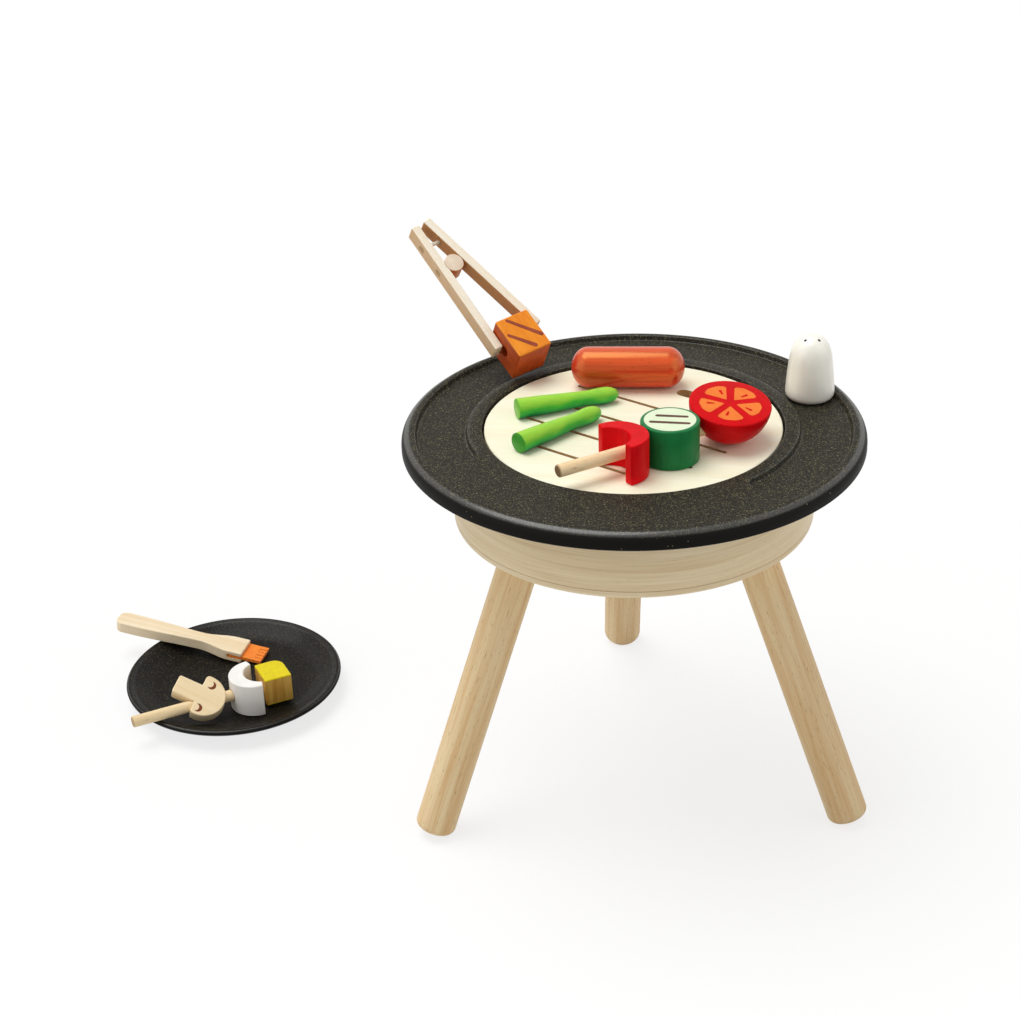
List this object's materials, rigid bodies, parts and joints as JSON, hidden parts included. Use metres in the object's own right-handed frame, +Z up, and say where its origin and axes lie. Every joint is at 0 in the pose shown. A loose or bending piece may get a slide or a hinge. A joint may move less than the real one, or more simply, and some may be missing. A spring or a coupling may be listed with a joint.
{
  "type": "toy barbecue grill",
  "caption": "Round toy barbecue grill on splayed wooden legs, with a slotted grate, skewers, play food, tongs, a salt shaker, a plate and a brush.",
  "frame": {"origin": "middle of the whole set's footprint, on the floor that the legs and the plate stand on", "axes": "+X runs from the plate to the grill, +Y away from the viewer of the picture, +Z up"},
  "size_m": [0.625, 0.3638, 0.3995],
  "materials": {
    "black_moulding": "satin, with fine pale speckles",
    "natural_wood": "clear satin lacquer",
    "pale_ply": "sanded, with browned slot walls",
    "zinc_steel": "zinc plated",
    "red_paint": "satin paint on turned wood",
    "green_paint": "satin paint on turned wood",
    "bright_red_paint": "gloss paint on wood",
    "dark_green_paint": "satin paint, with a pale green printed top",
    "orange_stain": "satin stain, with two brown printed stripes",
    "white_rubber": "matt",
    "white_paint": "satin paint",
    "yellow_paint": "satin paint on the flat faces",
    "orange_felt": "matt felt"
  },
  "bodies": {
    "grill": {"rim": "black_moulding", "bowl_ring": "natural_wood", "base_board": "natural_wood", "leg_left": "natural_wood", "leg_right": "natural_wood", "leg_rear": "natural_wood", "leg_bolt_left": "zinc_steel", "leg_bolt_right": "zinc_steel", "leg_bolt_rear": "zinc_steel", "tee_nut_left": "zinc_steel", "tee_nut_right": "zinc_steel", "tee_nut_rear": "zinc_steel", "rim_screw_1": "zinc_steel", "rim_screw_2": "zinc_steel", "rim_screw_3": "zinc_steel"},
    "grate": {"grate": "pale_ply"},
    "sausage": {"sausage": "red_paint"},
    "asparagus_long": {"asparagus_long": "green_paint"},
    "asparagus_short": {"asparagus_short": "green_paint"},
    "skewer": {"skewer_stick": "natural_wood"},
    "red_pepper": {"red_pepper": "bright_red_paint"},
    "zucchini": {"zucchini": "dark_green_paint"},
    "tomato_half": {"tomato_half": "bright_red_paint"},
    "salmon_cube": {"salmon_cube": "orange_stain"},
    "tongs_left": {"tongs_arm_left": "natural_wood", "tongs_roller": "natural_wood", "tongs_roller_pin": "natural_wood", "tongs_elastic": "white_rubber", "tongs_plug_left": "natural_wood"},
    "tongs_right": {"tongs_arm_right": "natural_wood", "tongs_plug_right": "natural_wood"},
    "salt_shaker": {"salt_shaker": "white_paint"},
    "plate": {"plate": "black_moulding"},
    "brush": {"brush_handle": "natural_wood", "brush_bristles": "orange_felt"},
    "plate_skewer": {"plate_skewer_stick": "natural_wood"},
    "mushroom": {"mushroom": "natural_wood"},
    "onion": {"onion": "white_paint"},
    "yellow_pepper": {"yellow_pepper": "yellow_paint"}
  },
  "joints": [
    {"name": "grate_lift", "type": "slide", "parent": "grill", "child": "grate", "axis": [0, 0, 1], "range_m": [0, 0.05]},
    {"name": "sausage_lift", "type": "slide", "parent": "grate", "child": "sausage", "axis": [0, 0, 1], "range_m": [0, 0.05]},
    {"name": "asparagus_long_lift", "type": "slide", "parent": "grate", "child": "asparagus_long", "axis": [0, 0, 1], "range_m": [0, 0.05]},
    {"name": "asparagus_short_lift", "type": "slide", "parent": "grate", "child": "asparagus_short", "axis": [0, 0, 1], "range_m": [0, 0.05]},
    {"name": "skewer_lift", "type": "slide", "parent": "grate", "child": "skewer", "axis": [0, 0, 1], "range_m": [0, 0.05]},
    {"name": "red_pepper_slide", "type": "slide", "parent": "skewer", "child": "red_pepper", "axis": [0.8453, 0.5344, 0], "range_m": [-0.012, 0]},
    {"name": "zucchini_slide", "type": "slide", "parent": "skewer", "child": "zucchini", "axis": [0.8453, 0.5344, 0], "range_m": [0, 0.012]},
    {"name": "tomato_slide", "type": "slide", "parent": "zucchini", "child": "tomato_half", "axis": [0.8453, 0.5344, 0], "range_m": [0, 0.02]},
    {"name": "salmon_cube_lift", "type": "slide", "parent": "grate", "child": "salmon_cube", "axis": [0, 0, 1], "range_m": [0, 0.05]},
    {"name": "tongs_slide", "type": "slide", "parent": "salmon_cube", "child": "tongs_left", "axis": [-0.5561, 0.5631, 0.6112], "range_m": [0, 0.04]},
    {"name": "tongs_hinge", "type": "hinge", "parent": "tongs_left", "child": "tongs_right", "pos_m": [-0.00167, 0.12062, 0.36802], "axis": [0.2966, -0.5526, 0.7789], "range_deg": [0, 5]},
    {"name": "salt_shaker_lift", "type": "slide", "parent": "grill", "child": "salt_shaker", "axis": [0, 0, 1], "range_m": [0, 0.05]},
    {"name": "plate_lift", "type": "slide", "parent": "grill", "child": "plate", "axis": [0, 0, 1], "range_m": [0, 0.05]},
    {"name": "brush_lift", "type": "slide", "parent": "plate", "child": "brush", "axis": [0, 0, 1], "range_m": [0, 0.05]},
    {"name": "plate_skewer_lift", "type": "slide", "parent": "plate", "child": "plate_skewer", "axis": [0, 0, 1], "range_m": [0, 0.05]},
    {"name": "mushroom_slide", "type": "slide", "parent": "plate_skewer", "child": "mushroom", "axis": [0.8829, 0.4695, 0], "range_m": [-0.003, 0]},
    {"name": "onion_slide", "type": "slide", "parent": "plate_skewer", "child": "onion", "axis": [0.8829, 0.4695, 0], "range_m": [0, 0.003]},
    {"name": "yellow_pepper_slide", "type": "slide", "parent": "plate_skewer", "child": "yellow_pepper", "axis": [0.8829, 0.4695, 0], "range_m": [0, 0.006]}
  ]
}
